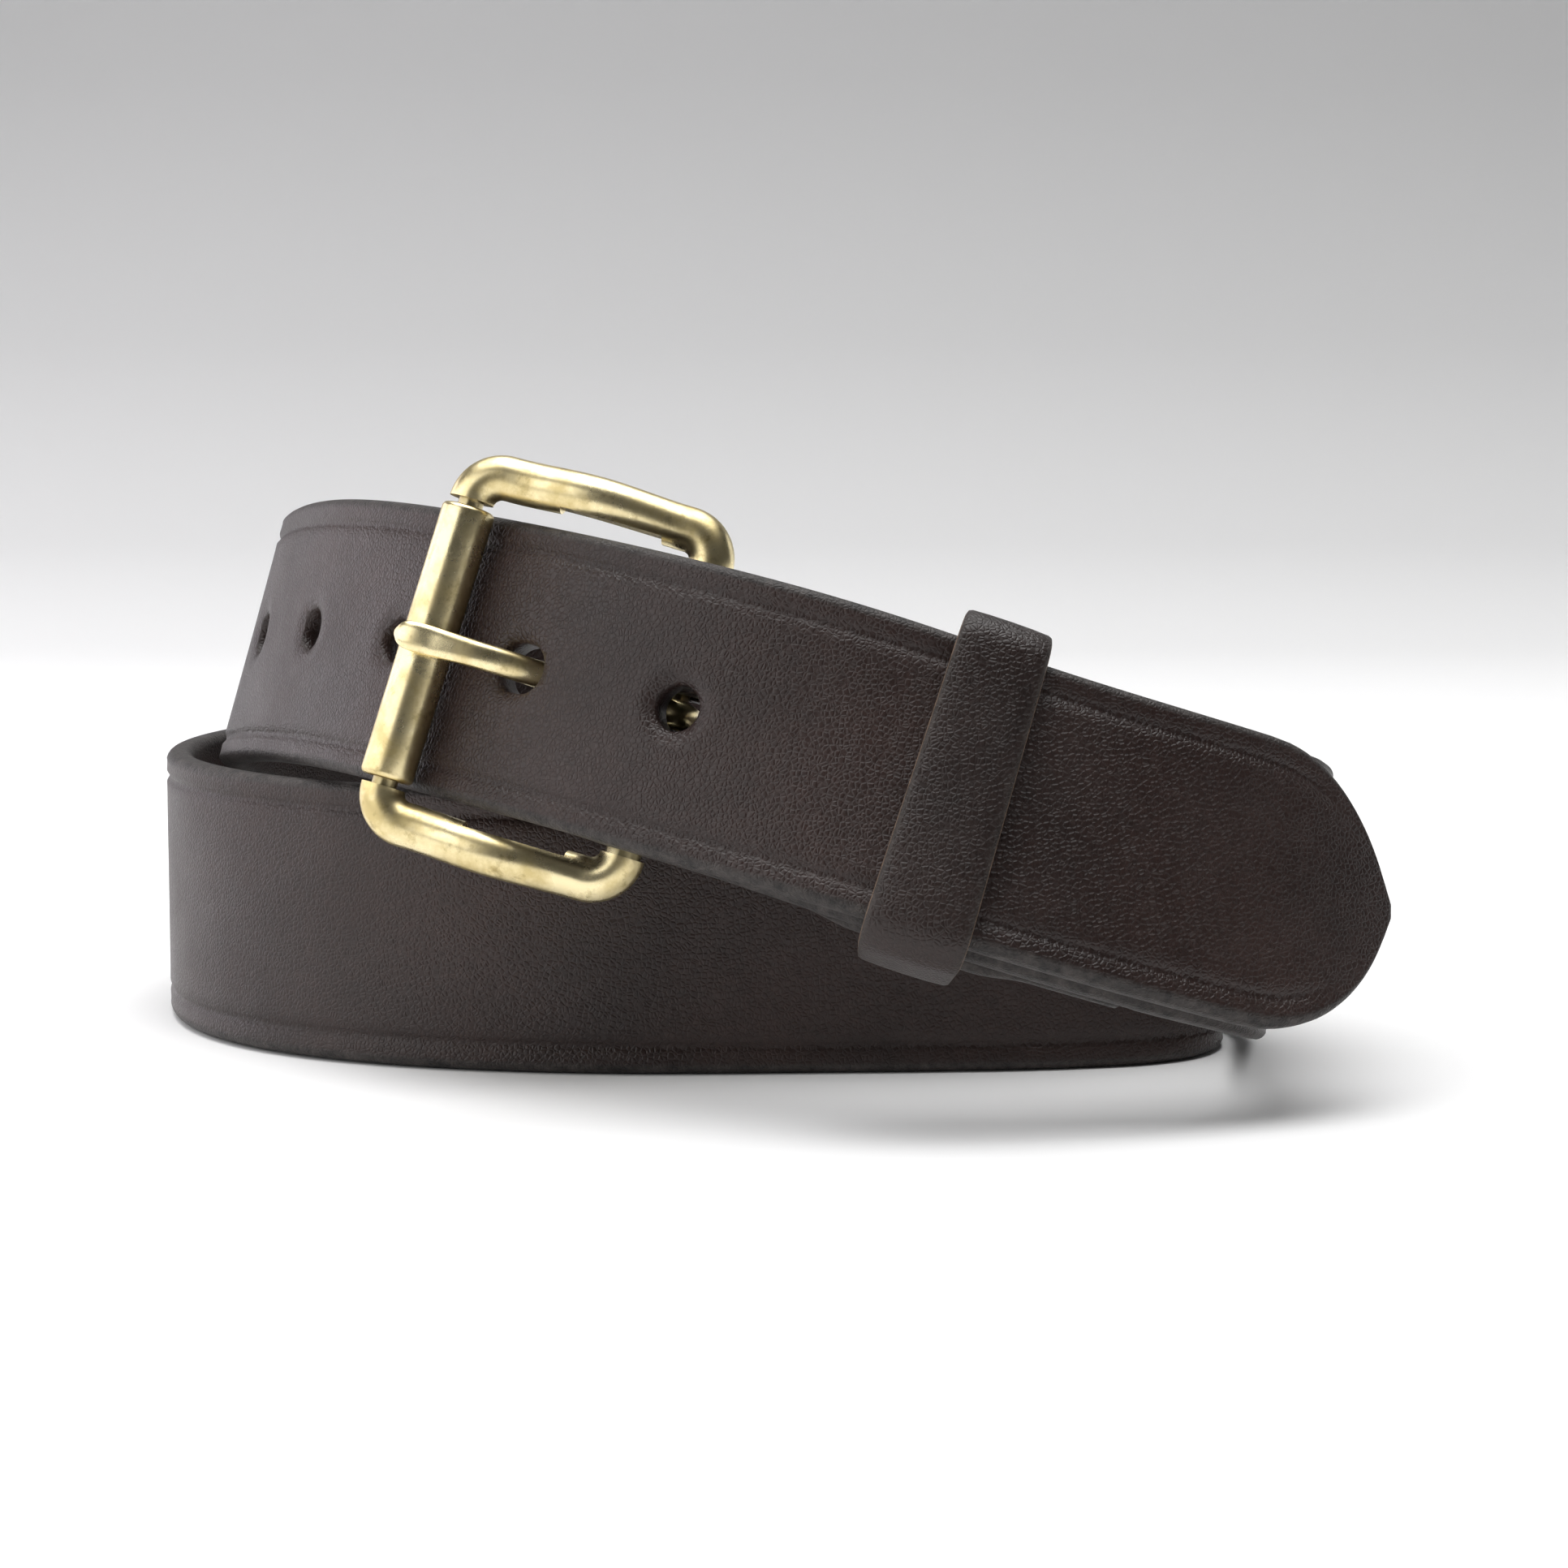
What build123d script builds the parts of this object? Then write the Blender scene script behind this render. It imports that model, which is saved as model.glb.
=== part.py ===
from build123d import *
from math import atan2, ceil, copysign, cos, degrees, hypot, pi, radians, sin, sqrt
import os

# Leather belt, buckled, wound twice and standing on its edge.
# Millimetres, +Z up; X runs along the front, Y from front to back. The origin is on the floor,
# under the middle of the coil.

# strap leather
strap_width = 38.0
strap_thick = 4.0
skived_thick = 3.0
hole_pitch = 25.4
hole_count = 5
hole_dia = 6.2
prong_hole_dia = 6.8
prong_hole_wear = 1.6
tip_length = 21.0
tip_reach = 98.5
tip_bow = 2.1
tip_fullness = 0.72
tip_blunt = 1.2
tip_sections = 9
layer_gap = 1.3
floor_clear = 0.1
ply_gap = 0.3
trace_step = 2.0
section_turn = 6.0
section_reach = 9.0
bridge_steps = 60
cut_extra = 0.6

# where the first hole of the billet lies and which way the strap runs there
first_hole = (-5.9, -70.0, 51.45)
first_hole_heading = -27.0

# plan of the strap as (radius, length) arcs, each list traced away from its start
billet_arcs = [(88, tip_reach)]
round_left_arcs = [(104, 25), (130, 25), (145, 25), (150, 32), (52, 20), (40, 24)]
outer_turn_arcs = [(26, 31), (300, 26), (26, 17)]
front_left_arcs = [(103, 27), (80, 20), (60, 20), (56, 25), (70, 84)]
front_right_arcs = [(500, 42), (100, 19), (24, 8), (16, 11), (19, 21)]
front_point = (-7.9, -45.0)
outer_bridge_pull = 72.0
inner_bridge_pull = 53.0

# slope along the strap and inward lean of its top edge, in degrees against distance
billet_slope = [
    (-170, 14.0), (-135, 12.5), (-105, 8.5), (-75, 2.2), (-50, -2.8), (-38, -4.9),
    (-22, -7.3), (-5, -10.2), (8, -12.4), (20, -14.8), (35, -17.2), (60, -17.0), (102, -16.2),
]
billet_lean = [
    (-150, 9.0), (-120, 16.0), (-100, 15.5), (-75, 15.0), (-50, 18.2), (-38, 18.9),
    (-22, 18.1), (-5, 16.7), (8, 16.6), (40, 22.0), (75, 18.5), (102, 17.0),
]
outer_turn_slope = [(0, -17.0), (16, -14.0), (31, -10.0), (57, -4.0), (74, -1.0)]
outer_turn_lean = [(0, 18.5), (12, 10.0), (31, -12.0), (57, -14.0), (74, -9.0)]
front_lean = [(-150, 0.0), (-100, 0.0), (-60, 8.0), (-20, 4.0), (15, 0.4), (22, 0.0), (30, 0.0), (100, 0.0)]
under_billet = 66.0
fold_narrow = 0.5
fold_step = 3.0
fold_sections = 12

# buckle, placed by distance along the billet from the first hole
heel_bar_at = -8.0
roller_at = -38.0
heel_bar_radius = 2.4
fold_gap = 0.35
roller_radius = 3.55
roller_length = 37.4
roller_gap = 0.45
pin_radius = 1.7
running_gap = 0.08
arm_across = 23.8
arm_wide = 6.0
arm_deep = 5.6
arm_arch = 1.4
arm_bow = 0.4
inside_half = 19.7
bar_sunk = 1.0
recess_share = 0.42
recess_out = 0.9
recess_deep = 1.0

# prong
prong_wide = 3.6
prong_deep = 2.6
prong_ring_thick = 1.6
prong_gap = 0.35
prong_drop = 1.2
prong_step_at = 17.3
prong_overhang = 3.6
prong_slot_wide = 5.0
prong_slot_reach = 10.0
prong_slot_deep = 7.0

# keeper and the Chicago screws that close the fold
keeper_at = 37.5
keeper_wide = 12.0
keeper_thick = 2.7
keeper_high = 46.0
keeper_corner = 5.0
keeper_play = 0.55
screw_at = (12.0, 58.5)
fold_end_at = 65.5
post_radius = 2.6
post_head_radius = 4.6
post_head_thick = 0.75
screw_radius = 1.7
screw_head_radius = 4.4
screw_head_thick = 1.3
screw_clear = 0.1
screw_hole_long = 9.5
thread_play = 0.05
post_floor = 0.6
screw_slot_wide = 0.9
screw_slot_deep = 0.6
head_gap = 0.15
screw_head_gap = 0.3
staple_wire = 0.8
staple_wide = 8.0
staple_leg = 1.8
staple_sunk = 0.45
butt_gap = 0.4


def curve(points, x):
    """Smooth cubic through (position, value) knots."""
    if x <= points[0][0]:
        return points[0][1]
    if x >= points[-1][0]:
        return points[-1][1]
    i = 0
    while points[i + 1][0] < x:
        i += 1

    def grade(j):
        a = points[max(j - 1, 0)]
        b = points[min(j + 1, len(points) - 1)]
        return (b[1] - a[1]) / (b[0] - a[0])

    (x0, v0), (x1, v1) = points[i], points[i + 1]
    h = x1 - x0
    t = (x - x0) / h
    rising = (1 + 2 * t) * (1 - t) ** 2 * v0 + t * (1 - t) ** 2 * h * grade(i)
    return rising + t * t * (3 - 2 * t) * v1 + t * t * (t - 1) * h * grade(i + 1)


def frame(point, heading, slope, lean):
    """Point, along, across (up the width) and outward directions of the strap."""
    along = Vector(cos(slope) * cos(heading), cos(slope) * sin(heading), sin(slope))
    side = Vector(sin(heading), -cos(heading), 0)
    up = Vector(-sin(slope) * cos(heading), -sin(slope) * sin(heading), cos(slope))
    across = up * cos(radians(lean)) - side * sin(radians(lean))
    outward = side * cos(radians(lean)) + up * sin(radians(lean))
    return (Vector(*point), along, across, outward)


def moved(fr, along=0.0, across=0.0, out=0.0):
    return fr[0] + fr[1] * along + fr[2] * across + fr[3] * out


def shifted(fr, out):
    return (moved(fr, out=out), fr[1], fr[2], fr[3])


def heading_of(fr):
    return atan2(fr[1].Y, fr[1].X)


def slope_of(fr):
    return atan2(fr[1].Z, hypot(fr[1].X, fr[1].Y))


def lean_of(fr):
    h = heading_of(fr)
    inward = fr[2].Y * cos(h) - fr[2].X * sin(h)
    return degrees(atan2(inward, hypot(fr[2].Z, fr[2].X * cos(h) + fr[2].Y * sin(h))))


def trace(start, heading, arcs, way, slopes, leans):
    """(distance, frame) pairs along arcs of (radius, length)."""
    x, y, z = start
    h = heading
    s = 0.0
    out = [(s, frame((x, y, z), h, radians(curve(slopes, s)), curve(leans, s)))]
    for radius, length in arcs:
        count = ceil(length / trace_step)
        ds = way * length / count
        for _ in range(count):
            f = radians(curve(slopes, s + ds / 2))
            mid = h + ds * cos(f) / radius / 2
            x += ds * cos(f) * cos(mid)
            y += ds * cos(f) * sin(mid)
            z += ds * sin(f)
            h += ds * cos(f) / radius
            s += ds
            out.append((s, frame((x, y, z), h, radians(curve(slopes, s)), curve(leans, s))))
    return out


def bridge(start, end, pull):
    """Smooth span of frames between two frames."""
    ha, hb = heading_of(start), heading_of(end)
    sa, sb = slope_of(start), slope_of(end)
    la, lb = lean_of(start), lean_of(end)
    pa, pb = start[0], end[0]
    qa = pa + Vector(cos(ha), sin(ha), sin(sa)) * pull
    qb = pb - Vector(cos(hb), sin(hb), sin(sb)) * pull
    pts = []
    for i in range(bridge_steps + 1):
        t = i / bridge_steps
        pts.append(
            pa * (1 - t) ** 3 + qa * 3 * t * (1 - t) ** 2 + qb * 3 * t * t * (1 - t) + pb * t ** 3
        )
    out = []
    for i in range(1, bridge_steps):
        d = pts[i + 1] - pts[i - 1]
        t = i / bridge_steps
        lean = la + t * t * (3 - 2 * t) * (lb - la)
        p = pts[i]
        out.append(frame((p.X, p.Y, p.Z), atan2(d.Y, d.X), atan2(d.Z, hypot(d.X, d.Y)), lean))
    return out


def billet_frames():
    heading = radians(first_hole_heading)
    right = trace(first_hole, heading, billet_arcs, 1, billet_slope, billet_lean)
    left = trace(first_hole, heading, round_left_arcs, -1, billet_slope, billet_lean)
    return left[::-1] + right[1:]


billet = billet_frames()


def at(distance):
    """Frame of the billet at a distance from the first hole."""
    i = 0
    while i < len(billet) - 2 and billet[i + 1][0] < distance:
        i += 1
    (s0, a), (s1, b) = billet[i], billet[i + 1]
    t = (distance - s0) / (s1 - s0)
    mixed = [a[k] * (1 - t) + b[k] * t for k in range(4)]
    along = mixed[1].normalized()
    across = (mixed[2] - along * mixed[2].dot(along)).normalized()
    return (mixed[0], along, across, along.cross(across).normalized())


fold_radius = heel_bar_radius + fold_gap
keeper_inside = 2 * strap_thick + layer_gap + 2 * keeper_play
ply_depth = strap_thick + layer_gap
bar_depth = strap_thick / 2 + layer_gap + strap_thick + fold_radius
bar_frame = shifted(at(heel_bar_at), -bar_depth)
roller_centre = moved(at(roller_at), out=strap_thick / 2 + roller_gap + roller_radius)


def buckle_axes():
    """Directions at the heel bar: towards the roller, along the bar, outward."""
    across = bar_frame[2]
    reach = roller_centre - bar_frame[0]
    reach = reach - across * reach.dot(across)
    toward = reach.normalized()
    return toward, across, across.cross(toward), reach.length


toward, bar_dir, outward, bar_to_roller = buckle_axes()


def local(u, w, n):
    """Point in the buckle's own directions, measured from the middle of the heel bar."""
    return bar_frame[0] + toward * u + bar_dir * w + outward * n


def section(fr, half_width, thick):
    """Rectangle across the strap at a frame."""
    corners = [(-1, -1), (1, -1), (1, 1), (-1, 1)]
    pts = [moved(fr, across=a * half_width, out=o * thick / 2) for a, o in corners]
    return Wire.make_polygon(pts, close=True)


def thinned(frames):
    """Keep only the frames a smooth band needs."""
    kept = [frames[0]]
    for i, fr in enumerate(frames[1:-1]):
        ahead = frames[i + 2]
        turn = kept[-1][1].get_angle(ahead[1])
        if turn > section_turn or (ahead[0] - kept[-1][0]).length > section_reach:
            kept.append(fr)
    kept.append(frames[-1])
    return kept


def fold_back_depth(s):
    """Depth of the fold-back ply's middle behind the front ply's middle."""
    near = strap_thick / 2 + ply_gap + skived_thick / 2
    wide = strap_thick / 2 + 2 * fold_radius + skived_thick / 2
    round_keeper = strap_thick / 2 + keeper_play + keeper_thick + keeper_play + skived_thick / 2
    half = keeper_wide / 2 + 3
    knots = [
        (heel_bar_at, wide), (heel_bar_at + 12, near), (keeper_at - half - 7, near),
        (keeper_at - half, round_keeper), (keeper_at + half, round_keeper),
        (keeper_at + half + 7, near), (fold_end_at + 1, near),
    ]
    for (s0, v0), (s1, v1) in zip(knots, knots[1:]):
        if s0 <= s <= s1:
            t = (s - s0) / (s1 - s0)
            return v0 + (v1 - v0) * t * t * (3 - 2 * t)
    return near


def fold_back():
    """Sections of the fold-back ply and the half turn round the heel bar."""
    out = []
    s = fold_end_at
    while s > heel_bar_at + 0.5:
        depth = ply_depth + fold_back_depth(s)
        out.append((shifted(at(s), -depth), strap_width / 2 - fold_narrow, skived_thick))
        s -= fold_step
    base = bar_frame
    for i in range(fold_sections + 1):
        done = i / fold_sections
        angle = pi * (1 - done)
        thick = skived_thick + (strap_thick - skived_thick) * done
        outw = base[3] * cos(angle) - base[1] * sin(angle)
        along = base[3] * sin(angle) + base[1] * cos(angle)
        centre = base[0] + outw * (fold_radius + thick / 2)
        half = strap_width / 2 - fold_narrow * (1 - done)
        out.append(((centre, along, base[2], outw), half, thick))
    return out


def strap_sections():
    """Every section of the strap from the fold-back end to the tip."""
    front_ply = [shifted(fr, -ply_depth) for s, fr in billet if heel_bar_at + 1 < s <= under_billet]
    last = front_ply[-1]
    start = (last[0].X, last[0].Y, last[0].Z)
    turn = trace(start, heading_of(last), outer_turn_arcs, 1, outer_turn_slope, outer_turn_lean)
    turn = [fr for s, fr in turn[1:]]
    low = front_point + (strap_width / 2 + floor_clear,)
    flat = [(-200, 0.0), (200, 0.0)]
    right = trace(low, 0.0, front_right_arcs, 1, flat, front_lean)
    left = trace(low, 0.0, front_left_arcs, -1, flat, front_lean)
    front = [fr for s, fr in left[::-1] + right[1:]]
    upper = [fr for s, fr in billet if s < tip_reach - tip_length]
    outer = bridge(turn[-1], front[0], outer_bridge_pull)
    inner = bridge(front[-1], upper[0], inner_bridge_pull)
    body = thinned(front_ply + turn + outer + front + inner + upper)
    out = fold_back()
    out += [(fr, strap_width / 2, strap_thick) for fr in body]
    for i in range(tip_sections + 1):
        d = tip_length * (1 - (i / tip_sections) ** tip_fullness)
        out.append((at(tip_reach - d), tip_half_width(d), strap_thick))
    return out


def tip_half_width(d):
    """Half width of the pointed end at a distance from its apex."""
    t = 1 - d / tip_length
    return max(tip_blunt, strap_width / 2 * (1 - t ** tip_bow) ** tip_fullness)


def through(point, direction, radius, length):
    """Round cutter or peg centred on a point."""
    plane = Plane(origin=point, z_dir=direction)
    return plane * Cylinder(radius, length)


def strap():
    wires = [section(fr, half, thick) for fr, half, thick in strap_sections()]
    body = Solid.make_loft(wires, ruled=True)
    for i in range(hole_count):
        fr = at(-hole_pitch * i)
        body -= through(fr[0], fr[3], hole_dia / 2, strap_thick + 2 * cut_extra)
    worn = at(-hole_pitch)
    plane = Plane(origin=worn[0] + worn[1] * (prong_hole_wear / 2), x_dir=worn[1], z_dir=worn[3])
    oval = plane * SlotOverall(prong_hole_dia + prong_hole_wear, prong_hole_dia)
    body -= extrude(oval, strap_thick / 2 + cut_extra, both=True)
    plane = Plane(origin=bar_frame[0], x_dir=bar_frame[1], z_dir=bar_frame[3])
    body -= plane * Box(2 * prong_slot_reach, prong_slot_wide, 2 * prong_slot_deep)
    for s in screw_at:
        fr = shifted(at(s), -ply_depth - fold_back_depth(s) / 2)
        body -= through(fr[0], fr[3], post_radius + screw_clear, screw_hole_long)
    return body


def posts():
    group = []
    for s in screw_at:
        fr = shifted(at(s), -ply_depth)
        face = strap_thick / 2 + head_gap
        head = through(moved(fr, out=face + post_head_thick / 2), fr[3], post_head_radius, post_head_thick)
        length = fold_back_depth(s) + skived_thick / 2 + face
        barrel = through(moved(fr, out=face - length / 2), fr[3], post_radius, length)
        bore = through(moved(fr, out=face - length / 2 - post_floor), fr[3], screw_radius, length)
        group.append(head + barrel - bore)
    return Compound(children=[piece.solid() for piece in group])


def screws():
    group = []
    for s in screw_at:
        fr = shifted(at(s), -ply_depth)
        back = fold_back_depth(s) + skived_thick / 2 + screw_head_gap
        head = through(moved(fr, out=-back - screw_head_thick / 2), fr[3], screw_head_radius, screw_head_thick)
        shank = through(moved(fr, out=-back / 2), fr[3], screw_radius - thread_play, back)
        slot_plane = Plane(origin=moved(fr, out=-back - screw_head_thick), x_dir=fr[1], z_dir=fr[3])
        slot = slot_plane * Box(3 * screw_head_radius, screw_slot_wide, 2 * screw_slot_deep)
        group.append(head + shank - slot)
    return Compound(children=[piece.solid() for piece in group])


def arm(side):
    """One side arm of the frame with its rounded corners."""
    turn = arm_across - inside_half
    bend = turn * (1 - sqrt(0.5))
    far = bar_to_roller
    start = local(far, side * inside_half, 0)
    corner = local(far - bend, side * (arm_across - bend), 0)
    corner_end = local(far - turn, side * arm_across, 0)
    heel_start = local(turn, side * arm_across, 0)
    heel_corner = local(bend, side * (arm_across - bend), 0)
    heel_end = local(0, side * inside_half, 0)
    middle = local(far / 2, side * (arm_across + arm_bow), arm_arch)
    path = Wire([
        Edge.make_three_point_arc(start, corner, corner_end),
        Edge.make_spline([corner_end, middle, heel_start], tangents=[toward * -1, toward * -1]),
        Edge.make_three_point_arc(heel_start, heel_corner, heel_end),
    ])
    plane = Plane(origin=start, x_dir=toward, z_dir=bar_dir * side)
    body = sweep(plane * Ellipse(arm_wide / 2, arm_deep / 2), path=path)
    recess_at = local(far * recess_share, side * (arm_across - arm_wide / 2), recess_out)
    plane = Plane(origin=recess_at, x_dir=toward, z_dir=bar_dir)
    return body - plane * Box(far * recess_share, arm_deep + 1, recess_deep * 2)


def buckle_frame():
    bar = through(local(0, 0, 0), bar_dir, heel_bar_radius, 2 * inside_half + bar_sunk)
    pin = through(local(bar_to_roller, 0, 0), bar_dir, pin_radius, 2 * inside_half + bar_sunk)
    return bar + pin + arm(1) + arm(-1)


def roller():
    outer = through(local(bar_to_roller, 0, 0), bar_dir, roller_radius, roller_length)
    return outer - through(local(bar_to_roller, 0, 0), bar_dir, pin_radius + running_gap, roller_length + 1)


def prong():
    """Ring round the heel bar, shank behind the billet, step up through the hole, tip on the roller."""
    ring_radius = heel_bar_radius + running_gap + prong_ring_thick
    on_roller = roller_radius + prong_gap + prong_deep / 2
    pts = [
        local(1.5, 0, -prong_drop - 0.6),
        local(9.5, 0, -prong_drop),
        local(prong_step_at - 7.0, 0, -prong_drop + 0.8),
        local(prong_step_at, 0, (on_roller - prong_drop) / 2 - 0.7),
        local(prong_step_at + 6.6, 0, on_roller - 0.9),
        local(bar_to_roller, 0, on_roller),
        local(bar_to_roller + prong_overhang, 0, on_roller - 0.8),
    ]
    path = Edge.make_spline(pts)
    plane = Plane(origin=pts[0], x_dir=bar_dir, z_dir=path % 0)
    body = sweep(plane * RectangleRounded(prong_wide, prong_deep, 0.9), path=path)
    body += through(local(0, 0, 0), bar_dir, ring_radius, prong_wide)
    return body - through(local(0, 0, 0), bar_dir, heel_bar_radius + running_gap, prong_wide + 4)


def keeper_sections(high, deep, corner, reach):
    """Rounded loops across the doubled strap at stations along the keeper."""
    middle = -(layer_gap + strap_thick) / 2
    wires = []
    for i in range(4):
        fr = shifted(at(keeper_at + reach * (i / 3 - 0.5)), middle)
        pts = []
        for k in range(16):
            angle = radians(30 * (k % 4) + 90 * (k // 4))
            a = copysign(high / 2 - corner, cos(radians(45 + 90 * (k // 4))))
            o = copysign(deep / 2 - corner, sin(radians(45 + 90 * (k // 4))))
            pts.append(moved(fr, across=a + corner * cos(angle), out=o + corner * sin(angle)))
        wires.append(Wire.make_polygon(pts, close=True))
    return Solid.make_loft(wires, ruled=True)


def keeper():
    outer_deep = keeper_inside + 2 * keeper_thick
    outer = keeper_sections(keeper_high, outer_deep, keeper_corner, keeper_wide)
    inner_high = keeper_high - 2 * keeper_thick
    inner_corner = keeper_corner - keeper_thick
    inner = keeper_sections(inner_high, keeper_inside, inner_corner, keeper_wide + 2 * cut_extra)
    back = keeper_back()
    plane = Plane(origin=back[0], x_dir=back[1], z_dir=back[3])
    butt = plane * Box(2 * keeper_wide, butt_gap, 2 * (keeper_thick + cut_extra))
    return outer - inner - butt - keeper_staple()


def keeper_back():
    """Frame on the outer face of the keeper's back, where its two ends meet."""
    middle = -(layer_gap + strap_thick) / 2
    return shifted(at(keeper_at), middle - keeper_inside / 2 - keeper_thick)


def keeper_staple():
    """Wire staple let into the back of the keeper across its butted ends."""
    back = keeper_back()
    plane = Plane(origin=back[0], x_dir=back[1], z_dir=back[3])
    crown = Box(staple_wire, staple_wide, staple_wire)
    crown = crown.moved(Location((0, 0, staple_sunk)))
    for side in (-1, 1):
        across = side * (staple_wide - staple_wire) / 2
        leg = Box(staple_wire, staple_wire, staple_leg)
        crown += leg.moved(Location((0, across, staple_sunk + staple_leg / 2)))
    return plane * crown


def main():
    os.makedirs("parts", exist_ok=True)
    pieces = {
        "strap": strap(),
        "buckle_frame": buckle_frame(),
        "roller": roller(),
        "prong": prong(),
        "keeper": keeper(),
        "keeper_staple": keeper_staple(),
        "screw_posts": posts(),
        "screws": screws(),
    }
    for name, piece in pieces.items():
        export_step(piece, f"parts/{name}.step")


if __name__ == "__main__":
    main()
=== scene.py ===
from math import atan2, ceil, cos, degrees, hypot, pi, radians, sin, sqrt

import bmesh
import bpy
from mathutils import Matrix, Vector


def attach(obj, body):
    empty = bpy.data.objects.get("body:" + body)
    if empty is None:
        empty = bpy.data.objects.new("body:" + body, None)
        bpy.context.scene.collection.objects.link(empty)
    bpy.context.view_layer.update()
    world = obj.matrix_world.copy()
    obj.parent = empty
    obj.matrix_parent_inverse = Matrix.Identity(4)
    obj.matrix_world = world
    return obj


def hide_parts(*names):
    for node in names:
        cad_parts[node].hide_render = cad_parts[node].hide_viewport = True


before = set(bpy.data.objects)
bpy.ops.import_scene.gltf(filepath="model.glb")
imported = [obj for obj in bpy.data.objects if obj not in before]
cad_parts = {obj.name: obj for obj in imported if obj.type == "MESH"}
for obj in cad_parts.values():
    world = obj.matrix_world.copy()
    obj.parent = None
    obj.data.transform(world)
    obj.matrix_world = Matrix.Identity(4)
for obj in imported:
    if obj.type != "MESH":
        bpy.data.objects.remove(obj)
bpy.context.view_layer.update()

MM = 0.001  # metres in a millimetre

# ---- sizes, in millimetres, as in the CAD model
strap_width = 38.0
strap_thick = 4.0
skived_thick = 3.0
hole_pitch = 25.4
hole_count = 5
hole_radius = 3.1
hole_deep = 7.0
worn_hole = 1  # the prong is in the second hole from the tip
prong_hole_radius = 3.4
prong_hole_wear = 1.6
tip_length = 21.0
tip_reach = 98.5
layer_gap = 1.3
floor_clear = 0.1
trace_step = 1.1

first_hole = (-5.9, -70.0, 51.45)
first_hole_heading = -27.0
front_point = (-7.9, -45.0)
billet_arcs = [(88, tip_reach)]
round_left_arcs = [(104, 25), (130, 25), (145, 25), (150, 32), (52, 20), (40, 24)]
outer_turn_arcs = [(26, 31), (300, 26), (26, 17)]
front_left_arcs = [(103, 27), (80, 20), (60, 20), (56, 25), (70, 84)]
front_right_arcs = [(500, 42), (100, 19), (24, 8), (16, 11), (19, 21)]
outer_bridge_pull = 72.0
inner_bridge_pull = 53.0
billet_slope = [
    (-170, 14.0), (-135, 12.5), (-105, 8.5), (-75, 2.2), (-50, -2.8), (-38, -4.9),
    (-22, -7.3), (-5, -10.2), (8, -12.4), (20, -14.8), (35, -17.2), (60, -17.0), (102, -16.2),
]
billet_lean = [
    (-150, 9.0), (-120, 16.0), (-100, 15.5), (-75, 15.0), (-50, 18.2), (-38, 18.9),
    (-22, 18.1), (-5, 16.7), (8, 16.6), (40, 22.0), (75, 18.5), (102, 17.0),
]
outer_turn_slope = [(0, -17.0), (16, -14.0), (31, -10.0), (57, -4.0), (74, -1.0)]
outer_turn_lean = [(0, 18.5), (12, 10.0), (31, -12.0), (57, -14.0), (74, -9.0)]
front_lean = [
    (-150, 0.0), (-100, 0.0), (-60, 8.0), (-20, 4.0),
    (15, 0.4), (22, 0.0), (30, 0.0), (100, 0.0),
]
under_billet = 66.0

heel_bar_at = -8.0
roller_at = -38.0
heel_bar_radius = 2.4
fold_gap = 0.35
roller_radius = 3.55
roller_length = 37.4
roller_gap = 0.45
roller_bore = 1.78
prong_wide = 3.6
prong_deep = 2.6
prong_ring_thick = 1.6
prong_gap = 0.35
prong_drop = 1.2
prong_step_at = 17.3
prong_overhang = 3.6
running_gap = 0.08
prong_slot_wide = 5.0
prong_slot_reach = 10.0
prong_slot_deep = 7.0
keeper_at = 37.5
keeper_wide = 12.0
keeper_thick = 2.7
keeper_high = 46.0
keeper_play = 0.55
ply_gap = 0.3
fold_end_at = 65.5
fold_narrow = 0.5
fold_spacing = 1.5
fold_sections = 24
screw_at = (12.0, 58.5)
post_radius = 2.7
post_hole_deep = 9.5

# ---- finer shapes of the leather and the metal, in millimetres
edge_round = 1.5
edge_blend = 2.6
crease_in = 3.7
crease_wide = 0.9
crease_deep = 0.42
crease_lip = 0.10
crown_fall = 0.15
grain_side = 1.2
press_deep = 0.55
press_wide = 2.3
pucker_high = 0.10
pucker_at = 2.4
pucker_wide = 1.2
dish_deep = 3.0
tip_sections = 26
tip_blunt = 1.2
keeper_corner = 5.2
keeper_round = 0.7
keeper_crown = 0.16
roller_round = 0.7
roller_facets = 64
ring_facets = 48


# ---- the strap's path, the same as in the CAD model

def curve(points, x):
    """Smooth cubic through (position, value) knots."""
    if x <= points[0][0]:
        return points[0][1]
    if x >= points[-1][0]:
        return points[-1][1]
    i = 0
    while points[i + 1][0] < x:
        i += 1

    def grade(j):
        a = points[max(j - 1, 0)]
        b = points[min(j + 1, len(points) - 1)]
        return (b[1] - a[1]) / (b[0] - a[0])

    (x0, v0), (x1, v1) = points[i], points[i + 1]
    h = x1 - x0
    t = (x - x0) / h
    rising = (1 + 2 * t) * (1 - t) ** 2 * v0 + t * (1 - t) ** 2 * h * grade(i)
    return rising + t * t * (3 - 2 * t) * v1 + t * t * (t - 1) * h * grade(i + 1)


def station(point, heading, slope, lean):
    """Point, along, across (up the width) and outward directions of the strap."""
    along = Vector((cos(slope) * cos(heading), cos(slope) * sin(heading), sin(slope)))
    side = Vector((sin(heading), -cos(heading), 0))
    up = Vector((-sin(slope) * cos(heading), -sin(slope) * sin(heading), cos(slope)))
    across = up * cos(radians(lean)) - side * sin(radians(lean))
    outward = side * cos(radians(lean)) + up * sin(radians(lean))
    return (Vector(point), along, across, outward)


def moved(fr, along=0.0, across=0.0, out=0.0):
    return fr[0] + fr[1] * along + fr[2] * across + fr[3] * out


def shifted(fr, out):
    return (moved(fr, out=out), fr[1], fr[2], fr[3])


def heading_of(fr):
    return atan2(fr[1].y, fr[1].x)


def slope_of(fr):
    return atan2(fr[1].z, hypot(fr[1].x, fr[1].y))


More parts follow.
